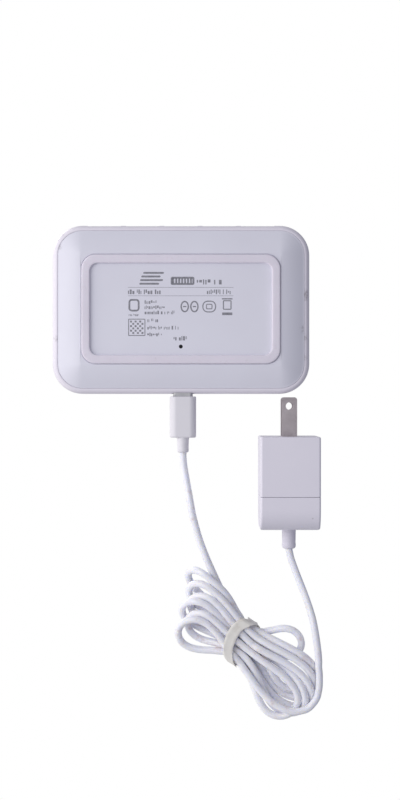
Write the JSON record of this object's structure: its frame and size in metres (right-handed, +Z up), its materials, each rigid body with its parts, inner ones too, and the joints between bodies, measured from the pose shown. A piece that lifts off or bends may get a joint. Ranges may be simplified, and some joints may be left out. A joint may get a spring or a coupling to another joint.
{
  "type": "desktop network switch with mains adapter",
  "caption": "Flat white desktop network switch with a row of network ports, a foot ring, a power lead with tied hank and a plug-in mains adapter.",
  "frame": {"origin": "centre of the switch's footprint, on the table under its foot ring", "axes": "+Z up from the table, +X along the row of ports, +Y towards the power inlet, so the ports face -Y"},
  "size_m": [0.112, 0.2071, 0.036],
  "materials": {
    "case_white": "satin moulded plastic",
    "cover_white": "satin moulded plastic",
    "foot_silicone": "matt silicone",
    "board_green": "solder mask",
    "jack_white": "satin",
    "contact_gold": "gold plated",
    "shield_steel": "nickel plated",
    "light_clear": "milky translucent",
    "chip_black": "moulded epoxy",
    "pad_blue": "soft thermal pad",
    "sink_aluminium": "anodised",
    "can_grey": "sleeved can",
    "screw_steel": "zinc plated",
    "plunger_ivory": "moulded",
    "plug_white": "satin soft vinyl",
    "lead_white": "soft vinyl jacket",
    "tie_cream": "matt strap",
    "adapter_white": "satin moulded plastic",
    "blade_nickel": "nickel-plated brass",
    "winding_tape": "taped winding"
  },
  "bodies": {
    "device": {"top_cover": "case_white", "bottom_cover": "cover_white", "foot_ring": "foot_silicone", "main_board": "board_green", "board_screws": "screw_steel", "port_jack_1": "jack_white", "port_jack_2": "jack_white", "port_jack_3": "jack_white", "port_jack_4": "jack_white", "port_jack_5": "jack_white", "port_contacts_1": "contact_gold", "port_contacts_2": "contact_gold", "port_contacts_3": "contact_gold", "port_contacts_4": "contact_gold", "port_contacts_5": "contact_gold", "port_shields": "shield_steel", "port_lights": "light_clear", "inlet_shell": "shield_steel", "inlet_tongue": "chip_black", "switch_chip": "chip_black", "thermal_pad": "pad_blue", "heat_sink": "sink_aluminium", "line_transformers": "chip_black", "clock_crystal": "shield_steel", "power_inductors": "can_grey", "board_capacitors": "can_grey", "regulator_chip": "chip_black", "reset_switch_body": "chip_black"},
    "reset_button": {"reset_plunger": "plunger_ivory"},
    "power_lead": {"plug_shell": "shield_steel", "plug_core": "chip_black", "plug_grip": "plug_white", "plug_neck": "plug_white", "lead_plug_end": "lead_white", "lead_hank": "lead_white", "hank_tie": "tie_cream", "lead_adapter_end": "lead_white", "adapter_gland": "plug_white", "adapter_rear": "adapter_white", "adapter_cap": "adapter_white", "blade_lower": "blade_nickel", "blade_upper": "blade_nickel", "adapter_board": "board_green", "adapter_transformer": "winding_tape", "input_capacitor": "chip_black", "output_capacitor": "can_grey", "safety_fuse": "winding_tape"}
  },
  "joints": [
    {"name": "reset_press", "type": "slide", "parent": "device", "child": "reset_button", "axis": [0, 0, 1], "range_m": [0, 0.00025], "stiffness_N_per_m": 1000},
    {"name": "plug_pull", "type": "slide", "parent": "device", "child": "power_lead", "axis": [0, 1, 0], "range_m": [0, 0.012]}
  ]
}
